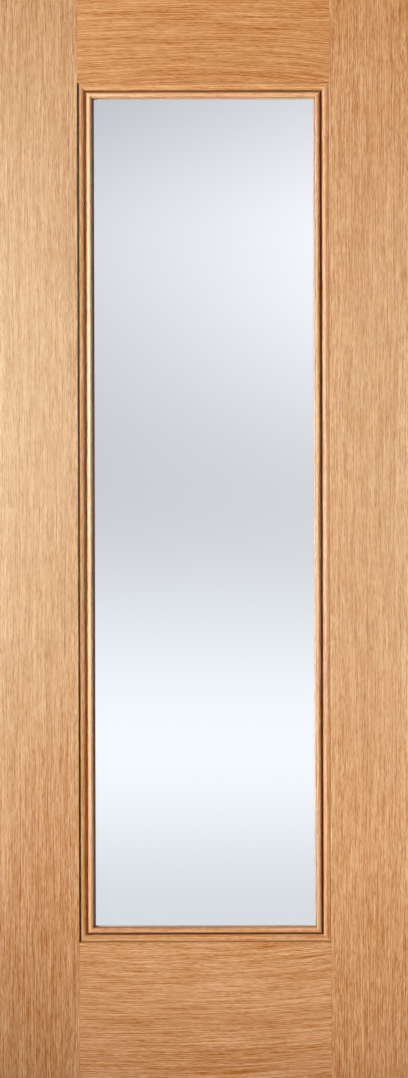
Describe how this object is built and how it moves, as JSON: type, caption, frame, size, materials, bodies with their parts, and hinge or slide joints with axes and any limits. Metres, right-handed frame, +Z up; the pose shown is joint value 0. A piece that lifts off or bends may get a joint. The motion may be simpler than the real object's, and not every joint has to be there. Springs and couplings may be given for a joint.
{
  "type": "glazed door",
  "caption": "Internal oak door leaf with wide stiles and rails round a tall glazed light, held by mitred ovolo linings and half-round glazing beads.",
  "frame": {"origin": "on the hinge edge, at its foot, half way through the thickness", "axes": "+X across the leaf from the hinge edge, +Y from the front face to the back face, +Z up"},
  "size_m": [0.762, 0.035, 1.981],
  "materials": {
    "oak_facing": "oak, satin lacquer",
    "oak_moulding": "solid oak, satin lacquer",
    "oak_lipping": "solid oak, satin lacquer",
    "timber_core": "bare glued staves",
    "clear_glass": "clear float glass",
    "glazing_tape": "pale buff foam tape"
  },
  "bodies": {
    "root": {"left_stile_core": "timber_core", "right_stile_core": "timber_core", "top_rail_core": "timber_core", "bottom_rail_core": "timber_core", "hinge_edge_lipping": "oak_lipping", "lock_edge_lipping": "oak_lipping", "front_left_stile_facing": "oak_facing", "front_right_stile_facing": "oak_facing", "front_top_rail_facing": "oak_facing", "front_bottom_rail_facing": "oak_facing", "back_left_stile_facing": "oak_facing", "back_right_stile_facing": "oak_facing", "back_top_rail_facing": "oak_facing", "back_bottom_rail_facing": "oak_facing", "left_lining": "oak_moulding", "right_lining": "oak_moulding", "top_lining": "oak_moulding", "bottom_lining": "oak_moulding", "front_left_bead": "oak_moulding", "front_right_bead": "oak_moulding", "front_top_bead": "oak_moulding", "front_bottom_bead": "oak_moulding", "back_left_bead": "oak_moulding", "back_right_bead": "oak_moulding", "back_top_bead": "oak_moulding", "back_bottom_bead": "oak_moulding", "glass_pane": "clear_glass", "front_glazing_tape": "glazing_tape", "back_glazing_tape": "glazing_tape"}
  },
  "joints": []
}
